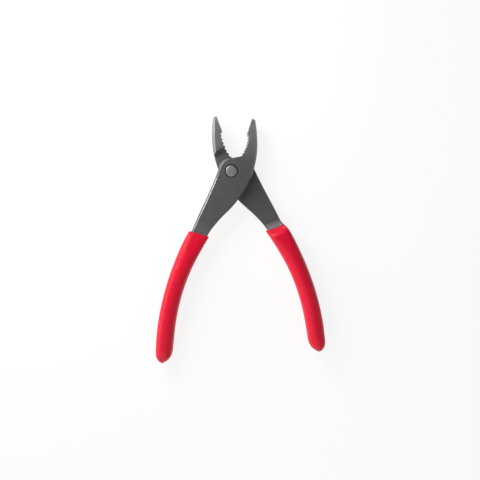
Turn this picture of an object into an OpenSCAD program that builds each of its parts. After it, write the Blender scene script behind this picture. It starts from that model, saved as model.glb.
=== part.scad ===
// Slip joint pliers with dipped grips, lying flat with the bolt upright.
// Origin: bolt axis, on the plane of the bolt's end. +Y runs to the jaws and +Z to the bolt's head.
// Each lever is drawn in its own frame: x is the distance from the plane where the closed jaws
// meet, y runs to the jaw tips, and z is the height above the plane between the two levers.
// The back lever is the front lever's drawing turned half round about y.

/* [Jaws] */
// Bolt axis to the jaw tips
jaw_len = 43.4; // [40:0.1:48]
// Closed jaws' meeting plane to the widest point of a jaw's back
head_w = 12.5; // [11.5:0.1:14]
// Width of each jaw at its tip
jaw_tip_w = 2.8; // [2:0.1:3.4]
// Thickness of a jaw at its root
jaw_t = 9.3; // [8.8:0.1:10]
// Thickness of a jaw at its tip
jaw_tip_t = 8.3; // [7.5:0.1:8.8]
// Length of the gripping flat at the tip
flat_len = 14; // [12:0.1:17]
// Gap between the flats of the closed jaws
jaw_gap = 0.1; // [0.06:0.02:0.2]
// Distance from the meeting plane to the deepest tooth valley
gullet_w = 3; // [2.4:0.1:3.4]
// Height of the front jaw's lowest tooth valley above the bolt axis
front_gullet_floor = 14; // [13:0.1:15]
// Height of the back jaw's lowest tooth valley above the bolt axis
back_gullet_floor = 12; // [11.5:0.1:13]
// Pitch of the gullet's teeth
tooth_pitch = 2.75; // [2.4:0.05:3.4]
// Depth of the gullet's teeth
tooth_depth = 1.1; // [0.5:0.05:1.3]
// Pitch of the fine serrations on the flat
serration_pitch = 1; // [0.8:0.1:1.5]
// Depth of the fine serrations
serration_depth = 0.3; // [0.2:0.05:0.4]
// Width of the lengthwise channel in the flat
channel_w = 4.8; // [4:0.1:5.2]
// Depth of the lengthwise channel
channel_depth = 1.1; // [0.8:0.1:1.3]
// Height of the ribs along the channel's floor
rib_h = 0.5; // [0.3:0.05:0.6]

/* [Levers] */
// Bolt axis to the top edge of the grips
shank_len = 53.8; // [52:0.1:60]
// Thickness of the front lever at the bolt
front_plate_t = 5; // [4.8:0.1:5.6]
// Thickness of the back lever at the bolt
back_plate_t = 4.3; // [4.1:0.1:4.6]
// Thickness of both levers where they enter the grips
shank_t = 3.6; // [3:0.1:4]
// Gap between the two levers around the bolt
lap_gap = 0.1; // [0.06:0.02:0.2]
// Distance that each lever's inner face draws back towards its grip
lap_spread = 0.45; // [0.3:0.05:0.8]
// Step of each lever's inner face across the middle just above its grip
joggle = 0.9; // [0.5:0.1:1.2]
// Length of that step's ramp
joggle_len = 5; // [4:0.5:8]
// Radius of the shoulder where a jaw thickens from half to full thickness
shoulder_r = 17.6; // [17.4:0.1:18.5]
// Width of the ramp on that shoulder
shoulder_ramp = 1.5; // [1:0.1:2.5]
// Bevel along the outer edges of the jaws
jaw_bevel = 1.7; // [1:0.1:2]
// Bevel along the edges of the boss and the shank
edge_bevel = 0.9; // [0.5:0.1:1.1]
// Widening of the back lever's outer edge where it enters its grip
shank_flare = 1; // [0:0.1:1.4]
// Turn of the front lever from closed to the photographed pose, in degrees
front_open = 16.7; // [0:0.1:20]
// Turn of the back lever from closed to the photographed pose, in degrees
back_open = 20.3; // [0:0.1:22]

/* [Pivot] */
// Jaws' meeting plane to the bolt axis in the closest slot position
pivot_offset = 3.95; // [3.5:0.05:4.4]
// Radius of the round boss on the handle side of the bolt
boss_r = 9.9; // [9.5:0.1:10.5]
// Distance between the two slot positions
slip = 7.4; // [7.3:0.1:8]
// Diameter of the bolt's shank
bolt_d = 7; // [6.6:0.1:7.1]
// Width across the two flats that pass the slot's neck
bolt_flat_w = 4.4; // [4:0.1:4.8]
// Diameter of the bolt's threaded end
thread_d = 6; // [5:0.5:6]
// Diameter of the bolt's head
bolt_head_d = 8.8; // [8.4:0.1:9.4]
// Height of the bolt's head
bolt_head_h = 1.9; // [1.5:0.1:2.4]
// Ring gap around the bolt's head
head_gap = 0.5; // [0.2:0.05:0.7]
// Diameter of the bolt's riveted end
bolt_end_d = 5.4; // [4.6:0.1:5.6]
// Height of the riveted end beyond the nut
bolt_end_h = 0.9; // [0.6:0.1:1.4]
// Nut width across its flats
nut_af = 12; // [11:0.5:13]
// Nut height
nut_h = 3.9; // [3.4:0.1:4.6]
// Washer diameter
washer_d = 11.8; // [11:0.1:13]
// Washer thickness
washer_t = 0.5; // [0.4:0.05:0.8]
// Radial clearance of the bolt in the slot and in the washer
run_clear = 0.08; // [0.04:0.01:0.1]
// Clearance of the bolt's flats on each side of the slot's neck
neck_clear = 0.1; // [0.05:0.01:0.15]
// Gap on each face of the washer
face_gap = 0.05; // [0.03:0.01:0.08]
// Radial clearance of the fixed fits
fit_clear = 0.02; // [0.01:0.01:0.03]

/* [Grips] */
// Bolt axis to the end of the grips, measured along y
handle_len = 160; // [150:0.5:175]
// Narrowest width of a grip
grip_w = 14; // [13:0.1:16]
// Thickness of a grip
grip_t = 16.4; // [15:0.1:17]
// Offset of each grip across the middle, away from its own lever's face
grip_shift = 0.8; // [0:0.1:1]
// Radius of the handles' bow
bow_r = 188; // [170:1:240]
// Jaws' meeting plane to the furthest point of the bow
bow_out = 20; // [19:0.1:21]
// Bolt axis to that furthest point, measured along y
bow_down = 102; // [95:1:105]
// Thickness of the dipped lip around the steel at the grip's top
lip_t = 0.8; // [0.6:0.1:1.2]
// Length over which a grip flares from its lip to its full thickness
flare_len = 13; // [10:0.5:20]
// Width of the steel tang inside each grip
tang_w = 9.6; // [8:0.1:10.4]
// Length of solid grip beyond the tang's end
grip_end = 9; // [8:0.5:14]
// Outward lean of each grip's end
end_lean = 2; // [0:0.1:2.4]

/* [Hidden] */

steel_rgb = [0.36, 0.36, 0.37];
bright_rgb = [0.72, 0.71, 0.70];
grip_rgb = [0.86, 0.08, 0.20];

// Overrun of every cut
over = 1;
// Steps in each stretch of a smooth edge, and segments in a full circle
edge_steps = 4;
round_fn = 96;
grip_rings = 26;
grip_sides = 20;

// Edges as shares of head_w and jaw_len, then of head_w and shank_len below the bolt
jaw_back_shares = [[0.51, 0.808], [0.806, 0.564], [0.956, 0.35], [1.005, 0.125]];
shank_back_shares = [[0.968, 0.064], [0.752, 0.264], [0.395, 0.477],
    [-0.108, 0.697], [-0.462, 0.885], [-0.6, 1]];
// The handle side's edge as shares of the boss's reach and shank_len
shank_side_shares = [[1.46, 1], [1.425, 0.93], [1.345, 0.77], [1.18, 0.477], [1.077, 0.275], [1.012, 0.11]];
// Drop of the jaw's outer tip corner as a share of the jaw's length
tip_drop_share = 0.014;
// Boss arc's first angle, and its last on each lever
boss_start = 183;
front_boss_end = 98;
back_boss_end = 130;
// Foot of the back lever's throat, as shares of head_w and boss_r
back_throat_shares = [[-0.055, 0.94]];
// Gullet depth as shares of gullet_w at shares of its run, from the lowest tooth up
gullet_shares = [[0, 0.43], [0.2, 0.76], [0.45, 1], [0.75, 0.98], [1, 0.8]];
// One serration: its depth, then its place, as shares of the depth and the pitch
serration_shares = [[0, 0.2], [1, 0.5], [0, 0.8]];
// Grip width as shares of grip_w at shares of its length
grip_width_shares = [[0, 1.16], [0.14, 1.11], [0.28, 1.045], [0.43, 1.005], [0.6, 1], [0.8, 1.01],
    [0.9, 0.98], [0.93, 0.92], [0.95, 0.82], [0.97, 0.63], [0.985, 0.4], [0.995, 0.19], [1, 0.07]];
// Spacing of the grip's rings, finer at both ends
ring_shares = [[0, 0], [0.3, 0.16], [0.7, 0.88], [1, 1]];
// Where the outward lean of the grip's end begins
lean_start_share = 0.8;
// Roundness of the grip's section, from 2, an ellipse, upwards
grip_power = 2.7;

boss_reach = pivot_offset + boss_r;
mid_z = bolt_end_h + nut_h + washer_t + 2 * face_gap + back_plate_t;
lap_z = lap_gap / 2;
flat_low = jaw_len - flat_len;
serration_count = floor(flat_len / serration_pitch) - 1;
shank_face_z = lap_spread + shank_t;
grip_face_z = grip_t / 2;
tang_z = [lap_spread - joggle, shank_face_z];
slot_r = bolt_d / 2 + run_clear;
counterbore_r = bolt_head_d / 2 + head_gap;

function lerp(a, b, t) = a + (b - a) * t;
function ease(t) = t <= 0 ? 0 : t >= 1 ? 1 : t * t * (3 - 2 * t);
function scaled(shares, w, l) = [for (s = shares) [s.x * w, s.y * l]];
function sweep_point(a, b, c, d, t) =
    0.5 * (2 * b + (c - a) * t + (2 * a - 5 * b + 4 * c - d) * t * t + (3 * b - a - 3 * c + d) * t * t * t);
// A smooth curve through points
function smooth(p, n) = [
    for (i = [0 : len(p) - 2], k = [0 : n - 1])
        sweep_point(p[max(i - 1, 0)], p[i], p[i + 1], p[min(i + 2, len(p) - 1)], k / n),
    p[len(p) - 1]
];
// The same path with its first point moved back in line, past the end of the solid
function run_past(p) = concat([2 * p[0] - p[1]], [for (i = [1 : len(p) - 1]) p[i]]);
// Unit vector square to a path at point i, on its left
function side_of(p, i) =
    let (d = p[min(i + 1, len(p) - 1)] - p[max(i - 1, 0)])
    [-d.y, d.x] / norm(d);

// Outer edge from the jaw's tip down its back and the shank's inner edge to the grip
function back_edge() = smooth(concat([[jaw_tip_w, jaw_len * (1 - tip_drop_share)]],
    scaled(jaw_back_shares, head_w, jaw_len), scaled(shank_back_shares, head_w, -shank_len)), edge_steps);
// Handle side's edge from the grip up to the boss, then the boss's arc
function boss_point(a) = [-pivot_offset + boss_r * cos(a), boss_r * sin(a)];
function handle_edge(boss_end, flare) = concat(
    smooth(concat([[-boss_reach * shank_side_shares[0].x - flare, -shank_len]],
        scaled([for (i = [1 : len(shank_side_shares) - 1]) shank_side_shares[i]], -boss_reach, -shank_len),
        [boss_point(boss_start)]), edge_steps),
    [for (k = [1 : 3 * edge_steps]) boss_point(lerp(boss_start, boss_end, k / (3 * edge_steps)))]
);
// Gullet teeth from the lowest valley to the step below the flat
function gullet_edge(gullet_floor) =
    let (run = flat_low - gullet_floor, count = round(run / tooth_pitch))
    [for (k = [0 : 2 * count]) let (s = k / (2 * count))
        [gullet_w * lookup(s, gullet_shares) - (k % 2) * tooth_depth, gullet_floor + run * s]];
// Serrated flat, from the step up to the tip
function flat_edge() = concat([[jaw_gap / 2, flat_low + tooth_depth]],
    [for (k = [1 : serration_count], s = serration_shares)
        [jaw_gap / 2 + s.x * serration_depth, flat_low + (k + s.y) * serration_pitch]],
    [[jaw_gap / 2, jaw_len]]);
function lever_outline(side, gullet_floor, throat) =
    concat(back_edge(), side, throat, gullet_edge(gullet_floor), flat_edge());

// Height of a lever's own face at a place along it
function face_z(y, plate_t) =
    y > shoulder_r ? lerp(jaw_t / 2, jaw_tip_t / 2, (y - shoulder_r) / (jaw_len - shoulder_r)) :
    y > boss_r ? lerp(plate_t, jaw_t / 2, (y - boss_r) / (shoulder_r - boss_r)) :
    y > -boss_r ? plate_t :
    lerp(plate_t, shank_face_z, (-boss_r - y) / (shank_len - boss_r));
function jaw_back_z(y) = y > shoulder_r ? face_z(y, jaw_t / 2) : jaw_t / 2;

// Side profile of a lever: its own face, then its inner face and the jaw's far face
module side_profile(plate_t) {
    tip_y = jaw_len + over;
    tip_z = face_z(tip_y, plate_t);
    polygon([
        [tip_y, tip_z],
        [shoulder_r, jaw_t / 2],
        [boss_r, plate_t],
        [-boss_r, plate_t],
        [-shank_len, shank_face_z],
        [-shank_len, lap_spread - joggle],
        [-shank_len + joggle_len, lap_spread],
        [-boss_r, lap_z],
        [boss_r / 2, lap_z],
        [boss_r / 2, -jaw_t / 2],
        [shoulder_r, -jaw_t / 2],
        [tip_y, -tip_z],
    ]);
}

// Triangular bar that cuts a bevel of width c along a path on a face; up is 1 or -1
module bevel_cutter(path, heights, c, up) {
    n = len(path);
    ring = [for (i = [0 : n - 1]) let (p = path[i], s = side_of(path, i), z = heights[i])
        each [
            [p.x - s.x * (c + over), p.y - s.y * (c + over), up * (z + over)],
            [p.x + s.x * over, p.y + s.y * over, up * (z - c - over)],
            [p.x + s.x * (c + over), p.y + s.y * (c + over), up * (z + c + over)],
        ]];
    sides = [for (i = [0 : n - 2], k = [0 : 2]) let (a = 3 * i + k, b = 3 * i + (k + 1) % 3)
        each [[a, a + 3, b], [b, a + 3, b + 3]]];
    faces = concat([[0, 1, 2]], sides, [[3 * n - 1, 3 * n - 2, 3 * n - 3]]);
    polyhedron(ring, up > 0 ? faces : [for (f = faces) [f[2], f[1], f[0]]], convexity = 6);
}

// Half-lap behind a lever: all below its inner face around the bolt, with the shoulder's ramp
module lap_cut() {
    translate([pivot_offset, 0, 0])
        rotate_extrude($fn = round_fn)
            polygon([
                [0, lap_z],
                [shoulder_r, lap_z],
                [shoulder_r + shoulder_ramp, -jaw_t / 2],
                [shoulder_r + shoulder_ramp, -jaw_t / 2 - over],
                [0, -jaw_t / 2 - over],
            ]);
}

// Lengthwise channel in the flat, with its three ribs left standing
module channel_cut() {
    channel_r = (pow(channel_w / 2, 2) + pow(channel_depth, 2)) / (2 * channel_depth);
    rib_pitch = channel_w / 4;
    difference() {
        translate([jaw_gap / 2 + channel_depth - channel_r, flat_low, 0])
            rotate([-90, 0, 0])
                cylinder(r = channel_r, h = flat_len + over, $fn = round_fn);
        for (k = [-1 : 1])
            translate([0, flat_low, k * rib_pitch])
                rotate([-90, 0, 0])
                    linear_extrude(height = flat_len + over)
                        polygon([
                            [channel_depth + over, -rib_pitch / 2],
                            [channel_depth - rib_h, -rib_h / 4],
                            [channel_depth - rib_h, rib_h / 4],
                            [channel_depth + over, rib_pitch / 2],
                        ]);
    }
}

// Strip of steel along the bow of the handle, inside the grip
function bow_point(a, side) =
    [-bow_out + bow_r - (bow_r - side) * cos(a), -bow_down + (bow_r - side) * sin(a)];
module tang(extra) {
    top_turn = asin((bow_down - shank_len) / bow_r);
    end_turn = -asin((handle_len - grip_end - bow_down) / bow_r);
    half = tang_w / 2 + extra;
    steps = 3 * edge_steps;
    translate([0, 0, tang_z[0] - extra])
        linear_extrude(height = tang_z[1] - tang_z[0] + 2 * extra)
            polygon(concat(
                [for (k = [0 : steps]) bow_point(lerp(top_turn, end_turn, k / steps), half)],
                [for (k = [steps : -1 : 0]) bow_point(lerp(top_turn, end_turn, k / steps), -half)]));
}

// One lever in its own frame, with the bolt's hole or slot still to be cut
module lever_blank(plate_t, boss_end, flare, gullet_floor, throat) {
    back = run_past(back_edge());
    side = handle_edge(boss_end, flare);
    rim = concat(run_past(side), throat, [gullet_edge(gullet_floor)[0]]);
    jaw_part = [for (p = back) if (p.y > -boss_r) p];
    head_part = [for (p = jaw_part) if (p.y > 0) p];
    difference() {
        intersection() {
            translate([0, 0, -jaw_t])
                linear_extrude(height = 2 * jaw_t)
                    polygon(lever_outline(side, gullet_floor, throat));
            translate([-2 * boss_reach, 0, 0])
                rotate([90, 0, 90])
                    linear_extrude(height = 4 * boss_reach)
                        side_profile(plate_t);
        }
        lap_cut();
        channel_cut();
        bevel_cutter(jaw_part, [for (p = jaw_part) face_z(p.y, plate_t)], jaw_bevel, 1);
        bevel_cutter(head_part, [for (p = head_part) jaw_back_z(p.y)], jaw_bevel, -1);
        bevel_cutter(rim, [for (p = rim) face_z(p.y, plate_t)], edge_bevel, 1);
    }
    tang(0);
}

module place_front() {
    translate([0, 0, mid_z])
        rotate([0, 0, -front_open])
            translate([pivot_offset, 0, 0])
                children();
}
module place_back() {
    translate([0, 0, mid_z])
        rotate([0, 0, back_open])
            translate([pivot_offset, 0, 0])
                rotate([0, 180, 0])
                    children();
}

module front_lever() {
    color(steel_rgb)
        place_front()
            difference() {
                lever_blank(front_plate_t, front_boss_end, 0, front_gullet_floor, []);
                translate([-pivot_offset, 0, -jaw_t]) {
                    cylinder(d = bolt_d + 2 * fit_clear, h = 2 * jaw_t, $fn = round_fn);
                    translate([0, 0, jaw_t + front_plate_t - bolt_head_h])
                        cylinder(r = counterbore_r, h = bolt_head_h + over, $fn = round_fn);
                }
            }
}

// Two round seats for the bolt, joined by a neck as wide as its flats
module slip_slot() {
    translate([0, 0, -jaw_t]) {
        for (x = [pivot_offset, pivot_offset - slip])
            translate([x, 0, 0])
                cylinder(r = slot_r, h = 2 * jaw_t, $fn = round_fn);
        translate([pivot_offset - slip, -bolt_flat_w / 2 - neck_clear, 0])
            cube([slip, bolt_flat_w + 2 * neck_clear, 2 * jaw_t]);
    }
}

module back_lever() {
    color(steel_rgb)
        place_back()
            difference() {
                lever_blank(back_plate_t, back_boss_end, shank_flare, back_gullet_floor,
                    scaled(back_throat_shares, head_w, boss_r));
                slip_slot();
            }
}

// One grip in its lever's frame, flaring from its lip to a full rounded section
function grip_ring(s) =
    let (
        turn = lerp(asin((bow_down - shank_len) / bow_r), -asin((handle_len - bow_down) / bow_r), s),
        along = s * (handle_len - shank_len),
        flare = ease(along / flare_len),
        far_z = lerp(tang_z[0] - lip_t, -grip_face_z - grip_shift, flare),
        near_z = lerp(shank_face_z + lip_t, grip_face_z - grip_shift, ease(along / (2 * flare_len))),
        closing = min(1, lookup(s, grip_width_shares)),
        w = grip_w * lookup(s, grip_width_shares),
        mid = (near_z + far_z) / 2,
        half_t = (near_z - far_z) / 2 * closing,
        lean = end_lean * pow(max(0, (s - lean_start_share) / (1 - lean_start_share)), 3),
        c = bow_point(turn, 0) - [lean, 0],
        tilt = -turn * ease(along / flare_len)
    )
    [for (k = [0 : grip_sides - 1]) let (
        a = 360 * (k + 0.5) / grip_sides,
        x = w / 2 * sign(cos(a)) * pow(abs(cos(a)), 2 / grip_power),
        z = half_t * sign(sin(a)) * pow(abs(sin(a)), 2 / grip_power)
    ) [c.x + x * cos(tilt), c.y + x * sin(tilt), mid + z]];

module grip() {
    points = [for (i = [0 : grip_rings - 1]) each grip_ring(lookup(i / (grip_rings - 1), ring_shares))];
    last = (grip_rings - 1) * grip_sides;
    faces = concat(
        [[for (k = [0 : grip_sides - 1]) k]],
        [for (i = [0 : grip_rings - 2], k = [0 : grip_sides - 1])
            let (a = i * grip_sides + k, b = i * grip_sides + (k + 1) % grip_sides)
            each [[a, a + grip_sides, b], [b, a + grip_sides, b + grip_sides]]],
        [[for (k = [grip_sides - 1 : -1 : 0]) last + k]]);
    color(grip_rgb)
        difference() {
            polyhedron(points, faces, convexity = 4);
            tang(fit_clear);
        }
}
module front_grip() {
    place_front()
        grip();
}
module back_grip() {
    place_back()
        grip();
}

module pivot_bolt() {
    head_z = mid_z + front_plate_t;
    seat_z = head_z - bolt_head_h;
    thread_top = mid_z - back_plate_t;
    rim = bolt_head_h / 8;
    dimple_r = bolt_head_d / 9;
    color(bright_rgb)
        difference() {
            rotate_extrude($fn = round_fn)
                polygon([
                    [0, 0],
                    [bolt_end_d / 2 - rim, 0],
                    [bolt_end_d / 2, rim],
                    [bolt_end_d / 2, bolt_end_h],
                    [thread_d / 2, bolt_end_h],
                    [thread_d / 2, thread_top],
                    [bolt_d / 2, thread_top],
                    [bolt_d / 2, seat_z],
                    [bolt_head_d / 2, seat_z],
                    [bolt_head_d / 2, head_z - rim],
                    [bolt_head_d / 2 - rim, head_z],
                    [dimple_r, head_z],
                    [dimple_r / 2, head_z - rim],
                    [0, head_z - rim],
                ]);
            rotate([0, 0, back_open])
                for (side = [-1, 1])
                    translate([-bolt_d, side > 0 ? bolt_flat_w / 2 : -bolt_flat_w / 2 - bolt_d, thread_top])
                        cube([2 * bolt_d, bolt_d, back_plate_t]);
        }
}

module pivot_nut() {
    corner_r = nut_af / 2 / cos(30);
    corner_h = corner_r - nut_af / 2;
    color(bright_rgb)
        translate([0, 0, bolt_end_h])
            difference() {
                intersection() {
                    rotate([0, 0, -front_open])
                        cylinder(r = corner_r, h = nut_h, $fn = 6);
                    rotate_extrude($fn = round_fn)
                        polygon([
                            [0, 0],
                            [nut_af / 2, 0],
                            [corner_r, corner_h],
                            [corner_r + over, corner_h],
                            [corner_r + over, nut_h],
                            [0, nut_h],
                        ]);
                }
                translate([0, 0, -over])
                    cylinder(d = thread_d + 2 * fit_clear, h = nut_h + 2 * over, $fn = round_fn);
            }
}

module nut_washer() {
    color(bright_rgb)
        translate([0, 0, bolt_end_h + nut_h + face_gap])
            difference() {
                cylinder(d = washer_d, h = washer_t, $fn = round_fn);
                translate([0, 0, -over])
                    cylinder(d = thread_d + 2 * run_clear, h = washer_t + 2 * over, $fn = round_fn);
            }
}

front_lever();
back_lever();
front_grip();
back_grip();
pivot_bolt();
pivot_nut();
nut_washer();
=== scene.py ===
"""Slip joint pliers with forged levers, dipped grips and a riveted bolt, on a pale floor.

Lengths are in millimetres until a piece is placed. A lever and its grip are drawn in the lever's own
frame: x from the plane where the closed jaws meet, y from the bolt to the jaw tips, and z from the
plane between the two levers. The back lever is the same drawing turned half round about y.
"""

import math

import bmesh
import bpy
from mathutils import Matrix, Vector


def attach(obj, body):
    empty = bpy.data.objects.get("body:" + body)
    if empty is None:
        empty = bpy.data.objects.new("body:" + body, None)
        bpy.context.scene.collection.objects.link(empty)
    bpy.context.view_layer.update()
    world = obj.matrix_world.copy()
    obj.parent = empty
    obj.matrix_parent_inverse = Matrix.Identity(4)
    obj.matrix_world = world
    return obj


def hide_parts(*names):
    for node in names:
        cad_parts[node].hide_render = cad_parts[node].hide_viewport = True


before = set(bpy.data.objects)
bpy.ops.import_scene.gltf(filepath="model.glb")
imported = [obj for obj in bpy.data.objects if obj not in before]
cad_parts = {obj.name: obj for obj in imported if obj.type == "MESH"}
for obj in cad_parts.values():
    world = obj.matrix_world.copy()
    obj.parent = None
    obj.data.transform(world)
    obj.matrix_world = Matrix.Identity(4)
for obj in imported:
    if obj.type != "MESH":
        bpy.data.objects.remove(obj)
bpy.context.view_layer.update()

MM = 0.001

# Jaws
JAW_LEN = 43.4
HEAD_W = 12.5
JAW_TIP_W = 2.8
JAW_T = 9.3
JAW_TIP_T = 8.3
FLAT_LEN = 14.0
JAW_GAP = 0.1
GULLET_W = 3.0
TOOTH_PITCH = 2.75
TOOTH_DEPTH = 1.1
SERRATION_PITCH = 1.0
SERRATION_DEPTH = 0.3
CHANNEL_W = 4.8
CHANNEL_DEPTH = 1.1
RIB_H = 0.5
RIB_COUNT = 3
RIB_STEEPNESS = 3

# Levers
SHANK_LEN = 53.8
SHANK_T = 3.6
FRONT_PLATE_T = 5.0
BACK_PLATE_T = 4.3
# Heights of the inner face round the bolt and above the step by the grip, then that step's size
LAP_Z = 0.05
LAP_SPREAD = 0.45
JOGGLE = 0.9
JOGGLE_LEN = 5.0
JOGGLE_STEPS = (0, 0.25, 0.5, 0.75, 1)
SHOULDER_R = 17.6
SHOULDER_RAMP = 1.5
SHOULDER_FILLET = 0.6
SHOULDER_SLOPE_H = 1.8
# The slope's top, as distances past the shoulder and rises, and its foot, as distances past the ramp
SHOULDER_KNEE = [(0.05, 0.3), (0.25, 0)]
SHOULDER_BROW = (-0.1, 0.35)
LAP_EDGE_Y = 4.95
SHANK_FLARE = 1.0
# How far each lever is turned from closed, in degrees
FRONT_OPEN = 16.7
BACK_OPEN = 20.3

# Pivot
PIVOT_OFFSET = 3.95
BOSS_R = 9.9
SLIP = 7.4
BOLT_D = 7.0
BOLT_FLAT_W = 4.4
THREAD_D = 6.0
BOLT_HEAD_D = 8.8
BOLT_HEAD_H = 1.9
HEAD_GAP = 0.6
HEAD_RIM_CHAMFER = 0.1
HEAD_ROUND = 0.55
HEAD_CROWN = 0.14
# Rings of the crown, as shares of the head's radius, then the dimple's shares of it and depths
CROWN_SHARES = (0.75, 0.6, 0.45, 0.3, 0.16)
DIMPLE = [(0.12, 0.01), (0.06, 0.06), (0, 0.08)]
BOLT_END_D = 5.4
BOLT_END_H = 0.9
# The riveted end's dish, as shares of its radius and heights, then its rim, as distances in and heights
END_DISH = [(0, 0.06), (0.45, 0.04)]
END_RIM = [(0.5, 0), (0.15, 0.08), (0, 0.25)]
NUT_AF = 12.0
NUT_H = 3.9
NUT_CORNER_SHARE = 0.8
NUT_BACK_EDGE = 0.3
# The nut's washer face, as distances out from its flats and heights
NUT_FACE = [(-0.3, 0), (0.1, 0.12)]
NUT_COUNTERSINK = 0.4
WASHER_D = 11.8
WASHER_T = 0.5
WASHER_ROUND = 0.08
FACE_GAP = 0.05
RUN_CLEAR = 0.08
FIT_CLEAR = 0.02
NECK_CLEAR = 0.1
RIM_CHAMFER = 0.25

# Grips
HANDLE_LEN = 160.0
GRIP_W = 14.0
GRIP_T = 16.4
GRIP_SHIFT = 0.8
BOW_R = 188.0
BOW_OUT = 20.0
BOW_DOWN = 102.0
LIP_T = 0.8
LIP_ROUND = 0.3
LIP_MIDDLE_SHARE = 0.3
GRIP_INSET = 0.1
GRIP_SIDES = 48
GRIP_RINGS = 72
# Powers of the section's superellipse along the grip and at its mouth
GRIP_POWER = 2.25
MOUTH_POWER = 4.0
# Lengths over which the grip turns across its bow and swells on its steep side, and how suddenly
FLARE_LEN = 13.0
STEEP_LEN = 8.0
FLARE_POWER = 3.0
TANG_W = 9.6
GRIP_END = 9.0
END_LEAN = 2.0

# Half of the height at which a lever is first drawn, before its faces take their own heights
RAISE = 20.0
# How far a cutter runs past what it cuts
OVER = 1.0
# Steps between two points of a curve, and round a full turn
EDGE_STEPS = 8
ROUND_STEPS = 96
# The least that a corner's step inwards is divided by, and how upright a level face's normal is
MITRE_LIMIT = 0.6
LEVEL = 0.99
# Points nearer than this are one, and faces thinner than this are taken out
MERGE = 1e-4
THIN = 1e-5
# How much large faces lead in the shading, and past which angles edges stay sharp, in degrees
NORMAL_WEIGHT = 80
STEEL_SHARP = 32
VINYL_SHARP = 50

MID_Z = BOLT_END_H + NUT_H + WASHER_T + 2 * FACE_GAP + BACK_PLATE_T
BOSS_REACH = PIVOT_OFFSET + BOSS_R
FLAT_LOW = JAW_LEN - FLAT_LEN
SHANK_FACE_Z = LAP_SPREAD + SHANK_T
TANG_LOW_Z = LAP_SPREAD - JOGGLE

# Edges as shares of HEAD_W and JAW_LEN, then of HEAD_W and SHANK_LEN below the bolt
JAW_BACK_SHARES = [(0.51, 0.808), (0.806, 0.564), (0.956, 0.35), (1.005, 0.125)]
SHANK_BACK_SHARES = [(0.968, 0.064), (0.752, 0.264), (0.395, 0.477), (-0.108, 0.697),
                     (-0.462, 0.885), (-0.6, 1)]
# The handle side's edge as shares of BOSS_REACH and SHANK_LEN
SHANK_SIDE_SHARES = [(1.46, 1), (1.425, 0.93), (1.345, 0.77), (1.18, 0.477), (1.077, 0.275),
                     (1.012, 0.11)]
TIP_DROP_SHARE = 0.014
TIP_CHAMFER = 0.6
# Ends of the boss's arc, in degrees
BOSS_START = 183
FRONT_BOSS_END = 98
BACK_BOSS_END = 130
# Heights above the bolt where the gullets start, then the foot of the back lever's throat, the
# gullets' curve and a serration, as shares of their sizes
FRONT_GULLET_FLOOR = 14.0
BACK_GULLET_FLOOR = 12.0
BACK_THROAT_SHARES = [(-0.055, 0.94)]
GULLET_SHARES = [(0, 0.43), (0.2, 0.76), (0.45, 1), (0.75, 0.98), (1, 0.8)]
SERRATION_SHARES = [(0, 0.2), (1, 0.5), (0, 0.8)]
# Shares of a grip's width at shares of its length, and where its rings lie
GRIP_WIDTH_SHARES = [(0, 1.16), (0.14, 1.11), (0.28, 1.045), (0.43, 1.005), (0.6, 1), (0.8, 1.01),
                     (0.9, 0.98), (0.93, 0.92), (0.95, 0.82), (0.97, 0.63), (0.985, 0.4),
                     (0.995, 0.19), (1, 0.07)]
GRIP_RING_SHARES = [(0, 0), (0.3, 0.16), (0.7, 0.88), (1, 1)]
LEAN_START_SHARE = 0.8

# Widths of the edge round a lever's own face and its far face, at places along the lever
BACK_TOP_EDGE = [(-SHANK_LEN, 0.5), (-30, 0.7), (-10, 1.0), (0, 1.3), (9, 1.7), (36, 1.7),
                 (42.8, 1.2)]
BACK_LOW_EDGE = [(-SHANK_LEN, 0.4), (0, 0.5), (9, 1.7), (36, 1.7), (42.8, 1.2)]
SIDE_TOP_EDGE = [(-SHANK_LEN, 1.4), (-45, 1.6), (10, 1.6)]
SIDE_LOW_EDGE = [(-SHANK_LEN, 0.4), (10, 0.4)]
THROAT_EDGE = 1.2

# Angles of a rounded quarter
QUARTER = [math.radians(a) for a in range(0, 91, 18)]

# Steps of an edge, as shares of its width: inwards, then down. One is round, one a flat facet with
# softened corners, one a low ledge between two worn corners that also carry a painted highlight, one
# the same ledge with finer corners, and one a steep facet.
ROUND_EDGE = [(1 - math.cos(a), 1 - math.sin(a)) for a in QUARTER]
FACET_EDGE = [(0, 1.08), (0.03, 0.99), (0.08, 0.92), (0.92, 0.08), (0.99, 0.03), (1.08, 0)]
LEDGE_EDGE = [(0, 0.36), (0.03, 0.31), (0.12, 0.25), (0.54, 0.23), (0.88, 0.02), (0.92, 0)]
ARC_EDGE = [(0, 0.34), (0.03, 0.28), (0.2, 0.17), (0.68, 0.15), (0.86, 0.02), (0.9, 0)]
STEEP_EDGE = [(0, 2), (0.05, 1.8), (0.1, 1.62), (0.9, 0.14), (1, 0.03), (1.08, 0)]
NO_EDGE = [(0, 0)] * len(ROUND_EDGE)

# Material indices of a lever, and those of its wall and then of its edge's bands inwards. A bevel is
# ground, and a ledge has worn corners lightened further as a painted highlight, which fades round the
# boss where fewer bands carry it. The fourth index is painted shade in the counterbore, and the fifth
# painted light on the step by the grip.
GROUND, FORGED, WORN_HIGHLIT, BORE_SHADE, STEP_LIT = 0, 1, 2, 3, 4
BEVEL_BANDS = [FORGED] + [GROUND] * 5
FLAT_BANDS = [GROUND] * 6
FORGED_BANDS = [FORGED] * 6
LEDGE_BANDS = [FORGED, WORN_HIGHLIT, WORN_HIGHLIT, FORGED, WORN_HIGHLIT, WORN_HIGHLIT]
ARC_BANDS = [FORGED, WORN_HIGHLIT, GROUND, FORGED, GROUND, GROUND]


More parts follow.
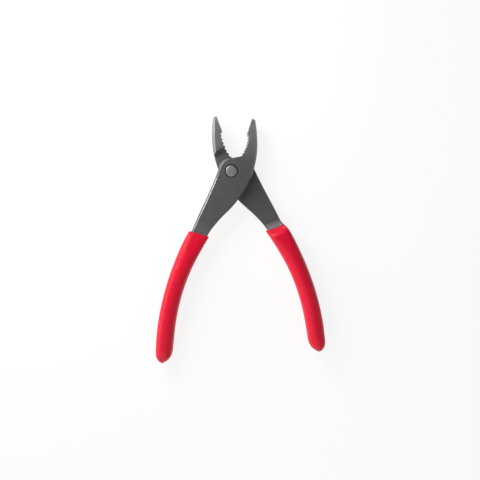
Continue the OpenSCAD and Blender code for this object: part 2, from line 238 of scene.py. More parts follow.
def lookup(x, table):
    """The value at x of a table of (x, value) pairs, straight between them."""
    if x <= table[0][0]:
        return table[0][1]
    for (x0, y0), (x1, y1) in zip(table, table[1:]):
        if x <= x1:
            return y0 + (y1 - y0) * (x - x0) / (x1 - x0)
    return table[-1][1]


def mix(a, b, t):
    """The value at a share of the way from one to another."""
    return a + (b - a) * t


def ease(t):
    """A soft step from 0 to 1."""
    t = min(1, max(0, t))
    return t * t * (3 - 2 * t)


def scaled(shares, width, length):
    """Points from shares of a width and of a length."""
    return [Vector((x * width, y * length)) for x, y in shares]


def smooth(points, steps):
    """A smooth curve through points, with that many steps between each two."""
    line = []
    for i in range(len(points) - 1):
        a, b = points[max(i - 1, 0)], points[i]
        c, d = points[i + 1], points[min(i + 2, len(points) - 1)]
        for k in range(steps):
            t = k / steps
            line.append(0.5 * (2 * b + (c - a) * t + (2 * a - 5 * b + 4 * c - d) * t * t
                               + (3 * b - a - 3 * c + d) * t * t * t))
    return line + [points[-1]]


def polar(centre_x, radius, angle):
    """A point of a circle centred on the x axis, at an angle in degrees."""
    a = math.radians(angle)
    return Vector((centre_x + radius * math.cos(a), radius * math.sin(a)))


def bow_point(angle, side):
    """A point beside the bowed line of a handle; side is towards the other handle."""
    r = BOW_R - side
    return Vector((BOW_R - BOW_OUT - r * math.cos(angle), r * math.sin(angle) - BOW_DOWN))


def edge_run(points, top, low, shape, bands):
    """Outline points with the width of their edge above and below, its shape and its materials."""
    return [(p, lookup(p.y, top), lookup(p.y, low), shape, bands) for p in points]


def blend(a, b, t):
    """An edge's shape part of the way from one to another."""
    return [(mix(x0, x1, t), mix(y0, y1, t)) for (x0, y0), (x1, y1) in zip(a, b)]


def back_run():
    """The jaw's back, bevelled flat, and the shank's inner edge, which is round."""
    points = [Vector((JAW_TIP_W, JAW_LEN * (1 - TIP_DROP_SHARE)))]
    points += scaled(JAW_BACK_SHARES, HEAD_W, JAW_LEN) + scaled(SHANK_BACK_SHARES, HEAD_W, -SHANK_LEN)
    run = []
    for p in smooth(points, EDGE_STEPS):
        shape = blend(ROUND_EDGE, FACET_EDGE, ease((p.y + BOSS_R) / SHOULDER_R))
        bands = BEVEL_BANDS if p.y > 0 else FORGED_BANDS
        run += edge_run([p], BACK_TOP_EDGE, BACK_LOW_EDGE, shape, bands)
    return run


def tang_run():
    """Both sides of the flat steel inside the grip."""
    top = math.asin((BOW_DOWN - SHANK_LEN) / BOW_R)
    end = -math.asin((HANDLE_LEN - GRIP_END - BOW_DOWN) / BOW_R)
    turns = [mix(top, end, k / (2 * EDGE_STEPS)) for k in range(2 * EDGE_STEPS + 1)]
    points = [bow_point(a, TANG_W / 2) for a in turns]
    points += [bow_point(a, -TANG_W / 2) for a in turns[::-1]]
    return edge_run(points, [(0, 0)], [(0, 0)], NO_EDGE, FORGED_BANDS)


def side_run(boss_end, flare):
    """The handle side of the shank and the round of the boss, with a ledge."""
    points = scaled(SHANK_SIDE_SHARES, -BOSS_REACH, -SHANK_LEN)
    points += [polar(-PIVOT_OFFSET, BOSS_R, BOSS_START)]
    points[0].x -= flare
    arc_steps = 4 * EDGE_STEPS
    turns = [mix(BOSS_START, boss_end, (k + 1) / arc_steps) for k in range(arc_steps)]
    arc = [polar(-PIVOT_OFFSET, BOSS_R, a) for a in turns]
    run = []
    for p in smooth(points, EDGE_STEPS) + arc:
        shape = blend(LEDGE_EDGE, ARC_EDGE, ease((p.y + BOSS_R) / BOSS_R))
        # The worn bands are also a painted highlight, with fewer of them on the arc round the boss
        bands = ARC_BANDS if p.y > -BOSS_R else LEDGE_BANDS
        run += edge_run([p], SIDE_TOP_EDGE, SIDE_LOW_EDGE, shape, bands)
    return run[:-1] + [run[-1][:4] + (FORGED_BANDS,)]


def gullet_run(floor, throat):
    """Foot of the throat, the gullet's teeth, and the serrated flat up to the tip."""
    run = FLAT_LOW - floor
    count = 2 * round(run / TOOTH_PITCH)
    flat_x = JAW_GAP / 2
    points = list(throat)
    for k in range(count + 1):
        s = k / count
        x = GULLET_W * lookup(s, GULLET_SHARES) - k % 2 * TOOTH_DEPTH
        points.append(Vector((x, floor + run * s)))
    points.append(Vector((flat_x, FLAT_LOW + TOOTH_DEPTH)))
    for k in range(1, int((FLAT_LEN - TIP_CHAMFER) / SERRATION_PITCH)):
        for depth, place in SERRATION_SHARES:
            y = FLAT_LOW + (k + place) * SERRATION_PITCH
            points.append(Vector((flat_x + depth * SERRATION_DEPTH, y)))
    points.append(Vector((flat_x, JAW_LEN - TIP_CHAMFER)))
    points.append(Vector((flat_x + TIP_CHAMFER, JAW_LEN - TIP_CHAMFER / 4)))
    foot = len(throat)
    return (edge_run(points[:foot], [(0, THROAT_EDGE)], [(0, 0)], STEEP_EDGE, FORGED_BANDS)
            + edge_run([points[foot]], [(0, THROAT_EDGE)], [(0, 0)], STEEP_EDGE, FLAT_BANDS)
            + edge_run(points[foot + 1:], [(0, 0)], [(0, 0)], NO_EDGE, FLAT_BANDS))


def inward(points, i):
    """Unit step inwards at a point of a closed clockwise outline, lengthened at corners."""
    before = (points[i] - points[i - 1]).normalized()
    after = (points[(i + 1) % len(points)] - points[i]).normalized()
    normal = Vector((before.y + after.y, -before.x - after.x)).normalized()
    return normal / max(MITRE_LIMIT, normal.dot(Vector((before.y, -before.x))))


def raise_ring(bm, face, ring, slots):
    """Extrudes a face to a new ring of points; slots are the side faces' materials."""
    made = bmesh.ops.extrude_face_region(bm, geom=[face] + list(face.edges) + list(face.verts))["geom"]
    top = next(e for e in made if isinstance(e, bmesh.types.BMFace))
    for loop, point, slot in zip(list(top.loops), ring, slots):
        loop.vert.co = point
        side = next(f for f in loop.edge.link_faces if f is not top)
        side.material_index = slot
    return top


def stack(rings, slots):
    """A solid raised from one ring of points through the others."""
    bm = bmesh.new()
    face = bm.faces.new([bm.verts.new(p) for p in rings[0]])
    for ring, band in zip(rings[1:], slots):
        face = raise_ring(bm, face, ring, band)
    bmesh.ops.remove_doubles(bm, verts=bm.verts, dist=MERGE)
    bmesh.ops.dissolve_degenerate(bm, dist=THIN, edges=bm.edges)
    return bm


def prism(outline, low, high):
    """A flat outline between two heights."""
    rings = [[Vector((*p, z)) for p in outline] for z in (low, high)]
    return stack(rings, [[GROUND] * len(outline)])


def turned(profile, centre_x=0, slot=GROUND):
    """A closed profile of (radius, height) pairs, turned about the upright line at centre_x."""
    bm = bmesh.new()
    verts = [bm.verts.new((r, 0, z)) for r, z in profile]
    edges = [bm.edges.new((verts[i], verts[(i + 1) % len(verts)])) for i in range(len(verts))]
    bmesh.ops.spin(bm, geom=verts + edges, cent=(0, 0, 0), axis=(0, 0, 1), angle=math.tau,
                   steps=ROUND_STEPS, use_merge=True)
    bmesh.ops.remove_doubles(bm, verts=bm.verts, dist=MERGE)
    bmesh.ops.dissolve_degenerate(bm, dist=THIN, edges=bm.edges)
    loose = [e for e in bm.edges if not e.link_faces]
    bmesh.ops.delete(bm, geom=loose, context="EDGES")
    for face in bm.faces:
        face.material_index = slot
    bmesh.ops.translate(bm, verts=bm.verts, vec=(centre_x, 0, 0))
    return bm


def as_object(bm, name, materials=()):
    """Turns a bmesh into a linked object with its faces pointing outwards."""
    bmesh.ops.recalc_face_normals(bm, faces=bm.faces)
    mesh = bpy.data.meshes.new(name)
    bm.to_mesh(mesh)
    bm.free()
    piece = bpy.data.objects.new(name, mesh)
    bpy.context.scene.collection.objects.link(piece)
    for material in materials:
        mesh.materials.append(material)
    return piece


def carve(piece, cutters, operation="DIFFERENCE"):
    """Cuts each bmesh out of a piece, or keeps what they share."""
    for bm in cutters:
        cutter = as_object(bm, "cutter")
        for _ in piece.data.materials:
            cutter.data.materials.append(None)
        boolean = piece.modifiers.new("cut", "BOOLEAN")
        boolean.operation = operation
        boolean.solver = "EXACT"
        boolean.object = cutter
        graph = bpy.context.evaluated_depsgraph_get()
        result = bpy.data.meshes.new_from_object(piece.evaluated_get(graph))
        piece.modifiers.clear()
        piece.data = result
        bpy.data.objects.remove(cutter)


def own_face_z(y, plate_t):
    """Height of a lever's own face along it."""
    return lookup(y, [(-SHANK_LEN, SHANK_FACE_Z), (-BOSS_R, plate_t), (BOSS_R, plate_t),
                      (SHOULDER_R, JAW_T / 2), (JAW_LEN, JAW_TIP_T / 2)])


def far_face_z(y):
    """Height of a lever's inner face below the bolt, and of its jaw's far face above it."""
    ramp = [(-SHANK_LEN + JOGGLE_LEN * t, LAP_SPREAD - JOGGLE * (1 - t) ** 2) for t in JOGGLE_STEPS]
    return lookup(y, ramp + [(LAP_EDGE_Y - OVER, LAP_Z - FIT_CLEAR), (LAP_EDGE_Y, -JAW_T / 2),
                             (SHOULDER_R, -JAW_T / 2), (JAW_LEN, -JAW_TIP_T / 2)])


def lap_cutter():
    """All below a lever's inner face around the bolt: a filleted wall, then the shoulder's slope."""
    f, low, r = SHOULDER_FILLET, -JAW_T / 2, SHOULDER_R
    fillet = [(r - f + f * math.sin(a), LAP_Z - f + f * math.cos(a)) for a in QUARTER]
    knee = [(r + out, low + SHOULDER_SLOPE_H + rise) for out, rise in SHOULDER_KNEE]
    inner, outer = (r + SHOULDER_RAMP + past for past in SHOULDER_BROW)
    brow = [(inner, low + RIM_CHAMFER), (outer, low), (outer + OVER, low - OVER / 4)]
    end = [(outer + OVER, low - OVER), (0, low - OVER)]
    return turned([(0, LAP_Z)] + fillet + knee + brow + end, PIVOT_OFFSET)


def channel_cutter():
    """The lengthwise channel in the gripping flat, with its ribs left standing."""
    steps = EDGE_STEPS * (RIB_COUNT + 1)
    pitch = CHANNEL_W / (RIB_COUNT + 1)
    floor = []
    for k in range(steps + 1):
        z = CHANNEL_W * (k / steps - 0.5)
        depth = CHANNEL_DEPTH * (1 - (2 * z / CHANNEL_W) ** 2)
        near = abs((z + CHANNEL_W / 2 + pitch / 2) % pitch - pitch / 2)
        ribbed = abs(z) < CHANNEL_W / 2 - pitch / 2
        rib = RIB_H * max(0, 1 - RIB_STEEPNESS * near / pitch) if ribbed else 0
        floor.append(Vector((JAW_GAP / 2 + depth - rib, -z)))
    outline = [Vector((-OVER, CHANNEL_W / 2))] + floor + [Vector((-OVER, -CHANNEL_W / 2))]
    bm = prism(outline, -OVER - FLAT_LEN, 0)
    bmesh.ops.rotate(bm, verts=bm.verts, matrix=Matrix.Rotation(math.radians(90), 3, "X"))
    bmesh.ops.translate(bm, verts=bm.verts, vec=(0, FLAT_LOW, 0))
    return bm


def bolt_hole_cutter():
    """The front lever's bolt hole and the counterbore for the bolt's head."""
    r, seat = BOLT_D / 2 + FIT_CLEAR, FRONT_PLATE_T - BOLT_HEAD_H
    rim, mouth = BOLT_HEAD_D / 2 + HEAD_GAP, FRONT_PLATE_T + OVER
    profile = [(0, -OVER), (r, -OVER), (r, seat), (rim, seat), (rim, FRONT_PLATE_T - HEAD_RIM_CHAMFER),
               (rim + HEAD_RIM_CHAMFER + OVER, mouth), (0, mouth)]
    # The counterbore takes the near-black material: painted shade in the recess
    return turned(profile, -PIVOT_OFFSET, BORE_SHADE)


def slot_cutter():
    """The back lever's slot: two round seats joined by a neck as wide as the bolt's flats."""
    r = BOLT_D / 2 + RUN_CLEAR
    neck = math.degrees(math.asin((BOLT_FLAT_W / 2 + NECK_CLEAR) / r))
    steps = ROUND_STEPS // 2
    spread = 180 - neck
    right = [polar(PIVOT_OFFSET, r, mix(-spread, spread, k / steps)) for k in range(steps + 1)]
    left = [polar(PIVOT_OFFSET - SLIP, r, mix(neck, 360 - neck, k / steps)) for k in range(steps + 1)]
    return prism(right + left, -OVER, BACK_PLATE_T + OVER)


def lever_blank(plate_t, boss_end, flare, gullet_floor, throat):
    """A lever's outline raised to its thickness, with its edges rounded or bevelled."""
    outline = back_run() + tang_run() + side_run(boss_end, flare)
    outline += gullet_run(gullet_floor, throat)
    points = [o[0] for o in outline]
    steps_in = [inward(points, i) for i in range(len(points))]
    rings, bands = [], []
    for above in (False, True):
        order = range(len(ROUND_EDGE)) if above else range(len(ROUND_EDGE) - 1, -1, -1)
        for j in order:
            ring = []
            for (p, top, low, shape, _), step in zip(outline, steps_in):
                width = top if above else low
                into, down = shape[j]
                x, y = p + step * into * width
                z = RAISE - down * width
                ring.append(Vector((x, y, z if above else -z)))
            rings.append(ring)
            bands.append([o[4][j] if above or o[4] is BEVEL_BANDS else FORGED for o in outline])
    bm = stack(rings, bands[1:])
    for face in bm.faces:
        if abs(face.normal.z) > LEVEL:
            face.material_index = GROUND
    lines = [-SHANK_LEN + JOGGLE_LEN * t for t in JOGGLE_STEPS]
    lines += [LAP_EDGE_Y - OVER, LAP_EDGE_Y, -BOSS_R, BOSS_R, SHOULDER_R]
    for y in lines:
        geometry = list(bm.verts) + list(bm.edges) + list(bm.faces)
        bmesh.ops.bisect_plane(bm, geom=geometry, dist=MERGE, plane_co=(0, y, 0), plane_no=(0, 1, 0))
    for v in bm.verts:
        if v.co.z > 0:
            v.co.z += own_face_z(v.co.y, plate_t) - RAISE
        else:
            v.co.z += far_face_z(v.co.y) + RAISE
    bmesh.ops.recalc_face_normals(bm, faces=bm.faces)
    # The step's downward faces take the paler steel: painted light where that step faces the light
    for face in bm.faces:
        on_step = face.calc_center_median().y < JOGGLE_LEN - SHANK_LEN
        if on_step and face.normal.z < 0 and face.material_index == GROUND:
            face.material_index = STEP_LIT
    return bm


def finish_piece(piece, place, body, node, sharp_angle=STEEL_SHARP):
    """Puts a piece in its place in metres, shades it and hands it to its body."""
    piece.data.transform(place)
    piece.data.shade_smooth()
    piece.data.set_sharp_from_angle(angle=math.radians(sharp_angle))
    weighted = piece.modifiers.new("weighted normals", "WEIGHTED_NORMAL")
    weighted.keep_sharp = True
    weighted.weight = NORMAL_WEIGHT
    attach(piece, body)
    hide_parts(node)


def lever_place(front):
    """Where a lever's own frame lies in the pliers."""
    turn = Matrix.Rotation(math.radians(-FRONT_OPEN if front else BACK_OPEN), 4, "Z")
    flip = Matrix.Identity(4) if front else Matrix.Rotation(math.pi, 4, "Y")
    shift = Matrix.Translation((PIVOT_OFFSET, 0, 0))
    return Matrix.Scale(MM, 4) @ Matrix.Translation((0, 0, MID_Z)) @ turn @ shift @ flip


def make_lever(name, front, materials):
    """A forged lever: its blank, cut for the lap, the bolt and the channel."""
    if front:
        bm = lever_blank(FRONT_PLATE_T, FRONT_BOSS_END, 0, FRONT_GULLET_FLOOR, [])
        cutters = [lap_cutter(), bolt_hole_cutter()]
    else:
        bm = lever_blank(BACK_PLATE_T, BACK_BOSS_END, SHANK_FLARE, BACK_GULLET_FLOOR,
                         scaled(BACK_THROAT_SHARES, HEAD_W, BOSS_R))
        cutters = [lap_cutter(), slot_cutter()]
    piece = as_object(bm, name, materials)
    carve(piece, cutters + [channel_cutter()])
    side = "front" if front else "back"
    finish_piece(piece, lever_place(front), side + "_half", side + "_lever")


def grip_ring(share, inset=0.0):
    """One ring of a grip's surface at a share of its length, drawn in by inset."""
    top = math.asin((BOW_DOWN - SHANK_LEN) / BOW_R)
    end = -math.asin((HANDLE_LEN - BOW_DOWN) / BOW_R)
    turn = mix(top, end, share)
    along = share * (HANDLE_LEN - SHANK_LEN)
    swell = 1 - (1 - min(1, along / STEEP_LEN)) ** FLARE_POWER
    spread_out = ease(along / (2 * FLARE_LEN))
    far_z = mix(TANG_LOW_Z - LIP_T, -GRIP_T / 2 - GRIP_SHIFT, swell)
    near_z = mix(SHANK_FACE_Z + LIP_T, GRIP_T / 2 - GRIP_SHIFT, spread_out)
    width_share = lookup(share, GRIP_WIDTH_SHARES)
    half_w = GRIP_W * width_share / 2 - inset - GRIP_INSET
    half_t = (near_z - far_z) / 2 * min(1, width_share) - inset - GRIP_INSET
    centre = bow_point(turn, 0)
    centre.x -= END_LEAN * max(0, (share - LEAN_START_SHARE) / (1 - LEAN_START_SHARE)) ** 3
    tilt = -turn * ease(along / FLARE_LEN)
    power = mix(MOUTH_POWER, GRIP_POWER, spread_out)
    mid_z = (near_z + far_z) / 2
    ring = []
    for k in range(GRIP_SIDES):
        a = math.tau * (k + 0.5) / GRIP_SIDES
        x = half_w * math.copysign(abs(math.cos(a)) ** (2 / power), math.cos(a))
        z = half_t * math.copysign(abs(math.sin(a)) ** (2 / power), math.sin(a))
        ring.append(Vector((centre.x + x * math.cos(tilt), centre.y + x * math.sin(tilt), mid_z + z)))
    return ring


def tang_cutter():
    """The steel's way into a grip."""
    points = [o[0] for o in tang_run()]
    grown = [p - inward(points, i) * FIT_CLEAR for i, p in enumerate(points)]
    return prism(grown, TANG_LOW_Z - FIT_CLEAR, SHANK_FACE_Z + FIT_CLEAR)


def make_grip(name, front, material):
    """A grip raised ring by ring from its mouth, with the mouth's edge rounded."""
    length, middle = HANDLE_LEN - SHANK_LEN, LIP_ROUND * LIP_MIDDLE_SHARE
    rings = [grip_ring(0, LIP_ROUND), grip_ring(middle / length, middle)]
    for k in range(GRIP_RINGS):
        share = lookup(k / (GRIP_RINGS - 1), GRIP_RING_SHARES)
        rings.append(grip_ring(max(share, LIP_ROUND / length)))
    piece = as_object(stack(rings, [[GROUND] * GRIP_SIDES] * len(rings)), name, [material])
    carve(piece, [tang_cutter()])
    side = "front" if front else "back"
    finish_piece(piece, lever_place(front), side + "_half", side + "_grip", VINYL_SHARP)


def make_bolt(material):
    """Flush head with a small dimple, shank with two flats, threaded length and riveted end."""
    head_z = MID_Z + FRONT_PLATE_T
    seat_z = head_z - BOLT_HEAD_H
    thread_top = MID_Z - BACK_PLATE_T
    head_r, end_r, rim = BOLT_HEAD_D / 2, BOLT_END_D / 2, HEAD_ROUND
    profile = [(end_r * share, z) for share, z in END_DISH] + [(end_r - into, z) for into, z in END_RIM]
    profile += [(end_r, BOLT_END_H), (THREAD_D / 2, BOLT_END_H), (THREAD_D / 2, thread_top),
                (BOLT_D / 2, thread_top), (BOLT_D / 2, seat_z), (head_r, seat_z)]
    profile += [(head_r - rim + rim * math.cos(a), head_z - HEAD_CROWN - rim + rim * math.sin(a))
                for a in QUARTER]
    profile += [(head_r * share, head_z - HEAD_CROWN * share * share) for share in CROWN_SHARES]
    profile += [(head_r * share, head_z - depth) for share, depth in DIMPLE]
    piece = as_object(turned(profile), "riveted_bolt", [material])
    flats = []
    for side in (-1, 1):
        bm = bmesh.new()
        bmesh.ops.create_cube(bm, size=1)
        bmesh.ops.scale(bm, verts=bm.verts, vec=(2 * BOLT_D, BOLT_D, BACK_PLATE_T))
        beside = (0, side * (BOLT_FLAT_W + BOLT_D) / 2, thread_top + BACK_PLATE_T / 2)
        bmesh.ops.translate(bm, verts=bm.verts, vec=beside)
        bmesh.ops.rotate(bm, verts=bm.verts, matrix=Matrix.Rotation(math.radians(BACK_OPEN), 3, "Z"))
        flats.append(bm)
    carve(piece, flats)
    finish_piece(piece, Matrix.Scale(MM, 4), "front_half", "pivot_bolt")


def make_nut(material):
    """Hexagon with its corners chamfered on the outside and a countersunk bore."""
    low, high = BOLT_END_H, BOLT_END_H + NUT_H
    corner_r = NUT_AF / 2 / math.cos(math.radians(30))
    hexagon = [polar(0, corner_r, 60 * k - FRONT_OPEN) for k in range(6)]
    piece = as_object(prism(hexagon, low, high), "hex_nut", [material])
    flat_r, past = NUT_AF / 2, corner_r + OVER
    rise = (corner_r - flat_r) * NUT_CORNER_SHARE
    back = high - NUT_BACK_EDGE
    blank = [(0, low)] + [(flat_r + out, low + up) for out, up in NUT_FACE]
    blank += [(corner_r, low + rise), (past, low + rise), (past, back), (corner_r, back), (flat_r, high),
              (0, high)]
    carve(piece, [turned(blank)], "INTERSECT")
    bore, sink = THREAD_D / 2 + FIT_CLEAR, NUT_COUNTERSINK
    hole = [(0, low - OVER), (bore + sink + OVER, low - OVER), (bore, low + sink), (bore, high + OVER),
            (0, high + OVER)]
    carve(piece, [turned(hole)])
    finish_piece(piece, Matrix.Scale(MM, 4), "front_half", "pivot_nut")


def make_washer(material):
    """Thin washer with its outer edges broken."""
    low = BOLT_END_H + NUT_H + FACE_GAP
    high = low + WASHER_T
    inner, outer, r = THREAD_D / 2 + RUN_CLEAR, WASHER_D / 2, WASHER_ROUND
    profile = [(inner, low), (outer - r, low), (outer, low + r), (outer, high - r), (outer - r, high),
               (inner, high)]
    piece = as_object(turned(profile), "thin_washer", [material])
    finish_piece(piece, Matrix.Scale(MM, 4), "slip_washer", "nut_washer")


# Noise values that count as the lowest and the highest, and how far they vary the cheeks' colour
NOISE_LOW, NOISE_HIGH = 0.3, 0.7
CHEEK_SHADES = (0.96, 1.04)
# The paper's tone as it lights the pieces and as it is seen, and its own light when it is seen
PAPER_TONE, PAPER_SEEN, PAPER_LIFT = 0.8, 0.2, 0.84
# Half of the paper's width, in metres
FLOOR_REACH = 3


def shader_of(material):
    """The node that holds a material's own values."""
    return material.node_tree.nodes["Principled BSDF"]


def new_material(name, colour, metallic, roughness):
    """A plain material, before its patterns."""
    material = bpy.data.materials.new(name)
    material.use_nodes = True
    shader = shader_of(material)
    shader.inputs["Base Color"].default_value = (*colour, 1)
    shader.inputs["Metallic"].default_value = metallic
    shader.inputs["Roughness"].default_value = roughness
    return material


def noise(material, scale, detail):
    """Noise on the piece's own coordinates, in cycles per metre."""
    nodes, links = material.node_tree.nodes, material.node_tree.links
    where = nodes.new("ShaderNodeTexCoord")
    texture = nodes.new("ShaderNodeTexNoise")
    texture.inputs["Scale"].default_value = scale
    texture.inputs["Detail"].default_value = detail
    links.new(where.outputs["Object"], texture.inputs["Vector"])
    return texture.outputs["Fac"]


def mottle(material, value, low, high):
    """A colour between two, by a noise value."""
    ramp = material.node_tree.nodes.new("ShaderNodeValToRGB")
    ramp.color_ramp.elements[0].position = NOISE_LOW
    ramp.color_ramp.elements[1].position = NOISE_HIGH
    ramp.color_ramp.elements[0].color = (*low, 1)
    ramp.color_ramp.elements[1].color = (*high, 1)
    material.node_tree.links.new(value, ramp.inputs["Fac"])
    return ramp.outputs["Color"]


def away(material, centre, near, far):
    """0 within a distance of an upright line and 1 past a longer one, in metres."""
    nodes, links = material.node_tree.nodes, material.node_tree.links
    where = nodes.new("ShaderNodeTexCoord")
    offset = nodes.new("ShaderNodeVectorMath")
    offset.operation = "SUBTRACT"
    offset.inputs[1].default_value = (*centre, 0)
    level = nodes.new("ShaderNodeVectorMath")
    level.operation = "MULTIPLY"
    level.inputs[1].default_value = (1, 1, 0)
    length = nodes.new("ShaderNodeVectorMath")
    length.operation = "LENGTH"
    span = nodes.new("ShaderNodeMapRange")
    span.inputs["From Min"].default_value = near
    span.inputs["From Max"].default_value = far
    links.new(where.outputs["Object"], offset.inputs[0])
    links.new(offset.outputs["Vector"], level.inputs[0])
    links.new(level.outputs["Vector"], length.inputs[0])
    links.new(length.outputs["Value"], span.inputs["Value"])
    return span.outputs["Result"]


def spread(material, value, low, high, socket):
    """Feeds a noise value to one of the shader's sockets, between two numbers or colours."""
    nodes, links = material.node_tree.nodes, material.node_tree.links
    if isinstance(low, tuple):
        links.new(mottle(material, value, low, high), shader_of(material).inputs[socket])
    else:
        span = nodes.new("ShaderNodeMapRange")
        span.inputs["From Min"].default_value = NOISE_LOW
        span.inputs["From Max"].default_value = NOISE_HIGH
        span.inputs["To Min"].default_value = low
        span.inputs["To Max"].default_value = high
        links.new(value, span.inputs["Value"])
        links.new(span.outputs["Result"], shader_of(material).inputs[socket])


def bump(material, heights, distance):
    """Bumps of that height in metres, from one value after another."""
    nodes, links = material.node_tree.nodes, material.node_tree.links
    normal = None
    for value, strength in heights:
        node = nodes.new("ShaderNodeBump")
        node.inputs["Strength"].default_value = strength
        node.inputs["Distance"].default_value = distance
        links.new(value, node.inputs["Height"])
        if normal is not None:
            links.new(normal, node.inputs["Normal"])
        normal = node.outputs["Normal"]
    links.new(normal, shader_of(material).inputs["Normal"])


def ground_steel(name, centre, near, far, shaded_colour, lit_colour):
    """Dark satin cheeks, blasted with fine beads, with painted shade round the joint and painted light
    further out.
    """
    material = new_material(name, (0.3, 0.297, 0.295), 1, 0.52)
    nodes, links = material.node_tree.nodes, material.node_tree.links
    grain = noise(material, 260, 4)
    # Painted shade and light: the colour is darker near the centre and paler further out
    tone = nodes.new("ShaderNodeMix")
    tone.data_type = "RGBA"
    links.new(away(material, centre, near, far), tone.inputs["Factor"])
    for colour, socket in ((shaded_colour, "A"), (lit_colour, "B")):
        low, high = (tuple(shade * c for c in colour) for shade in CHEEK_SHADES)
        links.new(mottle(material, grain, low, high), tone.inputs[socket])
    links.new(tone.outputs["Result"], shader_of(material).inputs["Base Color"])
    spread(material, noise(material, 2200, 2), 0.48, 0.56, "Roughness")
    bump(material, [(noise(material, 5200, 2), 0.35), (noise(material, 900, 3), 0.15)], 0.00004)
    return material


def forged_steel():
    """Darker forged skin of the lever's edges and walls."""
    material = new_material("forged_steel", (0.14, 0.138, 0.138), 1, 0.52)
    spread(material, noise(material, 700, 4), (0.12, 0.118, 0.118), (0.16, 0.158, 0.158), "Base Color")
    spread(material, noise(material, 1800, 3), 0.46, 0.58, "Roughness")
    bump(material, [(noise(material, 3200, 3), 0.6), (noise(material, 800, 3), 0.35)], 0.00006)
    return material


def worn_highlit_steel():
    """Bright arrises where the finish has worn through, lightened further as a painted highlight."""
    material = new_material("worn_highlit_steel", (0.365, 0.361, 0.357), 1, 0.42)
    spread(material, noise(material, 900, 4), (0.33, 0.326, 0.322), (0.4, 0.396, 0.392), "Base Color")
    spread(material, noise(material, 3000, 3), 0.36, 0.48, "Roughness")
    bump(material, [(noise(material, 4000, 3), 0.4)], 0.00003)
    return material


def step_lit_steel():
    """Paler steel of the step by the grip: painted light where the step faces the light."""
    material = new_material("step_lit_steel", (0.43, 0.428, 0.426), 1, 0.5)
    spread(material, noise(material, 900, 4), (0.39, 0.388, 0.386), (0.47, 0.468, 0.466), "Base Color")
    spread(material, noise(material, 3000, 3), 0.44, 0.56, "Roughness")
    bump(material, [(noise(material, 2600, 3), 0.5)], 0.00004)
    return material


def bore_shade_steel():
    """Near-black steel in the counterbore: painted shade in the recess round the bolt's head."""
    material = new_material("bore_shade_steel", (0.045, 0.044, 0.044), 1, 0.5)
    spread(material, noise(material, 900, 4), (0.035, 0.034, 0.034), (0.055, 0.054, 0.054), "Base Color")
    spread(material, noise(material, 2400, 3), 0.44, 0.58, "Roughness")
    bump(material, [(noise(material, 2600, 3), 0.6)], 0.00005)
    return material


def bolt_steel():
    """Bare steel with the fine rings that turning leaves."""
    material = new_material("bolt_steel", (0.6, 0.595, 0.59), 1, 0.42)
    nodes, links = material.node_tree.nodes, material.node_tree.links
    where = nodes.new("ShaderNodeTexCoord")
    rings = nodes.new("ShaderNodeTexWave")
    rings.wave_type = "RINGS"
    rings.rings_direction = "Z"
    rings.inputs["Scale"].default_value = 900
    rings.inputs["Distortion"].default_value = 1.5
    links.new(where.outputs["Object"], rings.inputs["Vector"])
    spread(material, noise(material, 700, 4), (0.57, 0.565, 0.56), (0.63, 0.625, 0.62), "Base Color")
    bump(material, [(rings.outputs["Fac"], 0.25), (noise(material, 4000, 2), 0.2)], 0.00003)
    return material


def zinc():
    """Bright zinc plate with a faint bloom."""
    material = new_material("zinc_plate", (0.66, 0.65, 0.64), 1, 0.24)
    spread(material, noise(material, 500, 4), (0.6, 0.59, 0.57), (0.72, 0.71, 0.7), "Base Color")
    spread(material, noise(material, 1500, 3), 0.18, 0.34, "Roughness")
    bump(material, [(noise(material, 2500, 3), 0.25)], 0.00003)
    return material


def vinyl():
    """Satin dipped vinyl with a slight orange peel."""
    material = new_material("dipped_vinyl", (0.85, 0.003, 0.034), 0, 0.4)
    shader = shader_of(material)
    shader.inputs["Specular IOR Level"].default_value = 0.35
    spread(material, noise(material, 120, 3), (0.825, 0.0025, 0.032), (0.875, 0.0035, 0.036),
           "Base Color")
    spread(material, noise(material, 1600, 3), 0.37, 0.45, "Roughness")
    bump(material, [(noise(material, 1100, 2), 0.3), (noise(material, 4200, 2), 0.25)], 0.00006)
    return material


def make_floor():
    """A wide sheet of paper under the pliers."""
    bm = bmesh.new()
    bmesh.ops.create_grid(bm, x_segments=1, y_segments=1, size=FLOOR_REACH)
    floor = as_object(bm, "floor", [floor_paper()])


def floor_paper():
    """Pale paper; where the camera or a reflection sees it, light of its own lifts it to white."""
    material = new_material("white_paper", (PAPER_TONE,) * 3, 0, 0.9)
    nodes, links = material.node_tree.nodes, material.node_tree.links
    shader = shader_of(material)
    shader.inputs["Specular IOR Level"].default_value = 0
    path = nodes.new("ShaderNodeLightPath")
    seen = path.outputs["Is Camera Ray"]
    for name in ("Is Glossy Ray", "Is Transmission Ray"):
        either = nodes.new("ShaderNodeMath")
        either.operation = "MAXIMUM"
        links.new(seen, either.inputs[0])
        links.new(path.outputs[name], either.inputs[1])
        seen = either.outputs[0]
    paper = nodes.new("ShaderNodeMix")
    paper.data_type = "RGBA"
    for socket, tone in (("A", PAPER_TONE), ("B", PAPER_SEEN)):
        paper.inputs[socket].default_value = (tone, tone, tone, 1)
    links.new(seen, paper.inputs["Factor"])
    links.new(paper.outputs["Result"], shader.inputs["Base Color"])
    lift = nodes.new("ShaderNodeMath")
    lift.operation = "MULTIPLY"
    lift.inputs[1].default_value = PAPER_LIFT
    links.new(seen, lift.inputs[0])
    shader.inputs["Emission Color"].default_value = (1, 1, 1, 1)
    links.new(lift.outputs[0], shader.inputs["Emission Strength"])
    return material


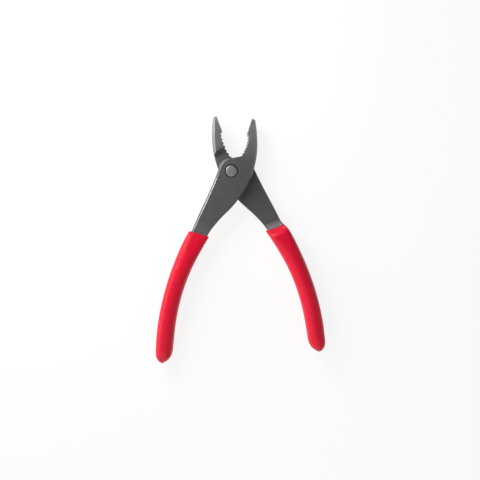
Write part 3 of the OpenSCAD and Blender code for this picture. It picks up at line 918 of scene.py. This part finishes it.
def add_light(name, where, aim, width, height, power):
    """A soft oblong light at a place, aimed at a point, all in metres."""
    data = bpy.data.lights.new(name, "AREA")
    data.shape = "RECTANGLE"
    data.size = width
    data.size_y = height
    data.energy = power
    lamp = bpy.data.objects.new(name, data)
    bpy.context.scene.collection.objects.link(lamp)
    lamp.location = where
    lamp.rotation_mode = "QUATERNION"
    lamp.rotation_quaternion = (Vector(aim) - Vector(where)).to_track_quat("-Z", "Y")


def add_lights():
    """A near key and a low strip on the left, with soft fills in front and on the right."""
    middle, head = (0, -0.05, 0.01), (0, 0.02, 0.01)
    add_light("near_key", (-0.205, 0.192, 0.204), head, 0.2, 0.2, 1.19)
    add_light("side_strip", (-0.926, 0.031, 0.208), middle, 1.0, 0.3, 3.3)
    add_light("front_fill", (-0.212, -0.841, 0.584), middle, 1.6, 1.2, 5.9)
    add_light("right_fill", (0.893, -0.207, 0.433), middle, 0.8, 0.6, 0.9)
    world = bpy.data.worlds.new("room")
    world.use_nodes = True
    background = world.node_tree.nodes["Background"]
    background.inputs["Color"].default_value = (0.1, 0.1, 0.1, 1)
    background.inputs["Strength"].default_value = 1
    bpy.context.scene.world = world


# The photograph's framing: the bolt's axis in its 480 by 480 pixels, and the tool's turn to the lens
BOLT_PIXEL = (230.907, 171.258)
IMAGE_PIXELS = 480
MM_PER_PIXEL = 0.78
CAMERA_DISTANCE = 440.9
TILT_BACK = 0.0606
TILT_SIDE = 0.0963
SENSOR = 36


def add_camera():
    """The camera, at the photograph's distance and framing."""
    turn = Matrix.Rotation(TILT_BACK, 3, "X") @ Matrix.Rotation(TILT_SIDE, 3, "Y")
    middle = IMAGE_PIXELS / 2
    shift = Vector((BOLT_PIXEL[0] - middle, middle - BOLT_PIXEL[1], 0)) * MM_PER_PIXEL
    where = Vector((0, 0, MID_Z)) + turn.transposed() @ (Vector((0, 0, CAMERA_DISTANCE)) - shift)
    data = bpy.data.cameras.new("camera")
    data.sensor_width = SENSOR
    data.lens = CAMERA_DISTANCE / MM_PER_PIXEL * SENSOR / IMAGE_PIXELS
    data.clip_start = 0.01
    data.clip_end = 20
    camera = bpy.data.objects.new("camera", data)
    bpy.context.scene.collection.objects.link(camera)
    camera.matrix_world = Matrix.Translation(where * MM) @ turn.transposed().to_4x4()
    bpy.context.scene.camera = camera


add_camera()
# Cheek tones: painted shade round the joint, and on the back lever where the front lever's shadow falls,
# with paler painted light further out
front_cheek = ground_steel("front_cheek_steel", (0, -0.02), 0.028, 0.052,
                           (0.205, 0.203, 0.202), (0.37, 0.367, 0.365))
back_cheek = ground_steel("back_cheek_steel", (0.016, -0.012), 0.004, 0.06,
                          (0.165, 0.164, 0.163), (0.31, 0.307, 0.305))
other_steels = [forged_steel(), worn_highlit_steel(), bore_shade_steel(), step_lit_steel()]
turned_steel, bright_zinc, red_vinyl = bolt_steel(), zinc(), vinyl()
make_lever("forged_front_lever", True, [front_cheek] + other_steels)
make_lever("forged_back_lever", False, [back_cheek] + other_steels)
make_grip("dipped_front_grip", True, red_vinyl)
make_grip("dipped_back_grip", False, red_vinyl)
make_bolt(turned_steel)
make_nut(bright_zinc)
make_washer(bright_zinc)
make_floor()
add_lights()
bpy.context.scene.view_settings.view_transform = "Standard"
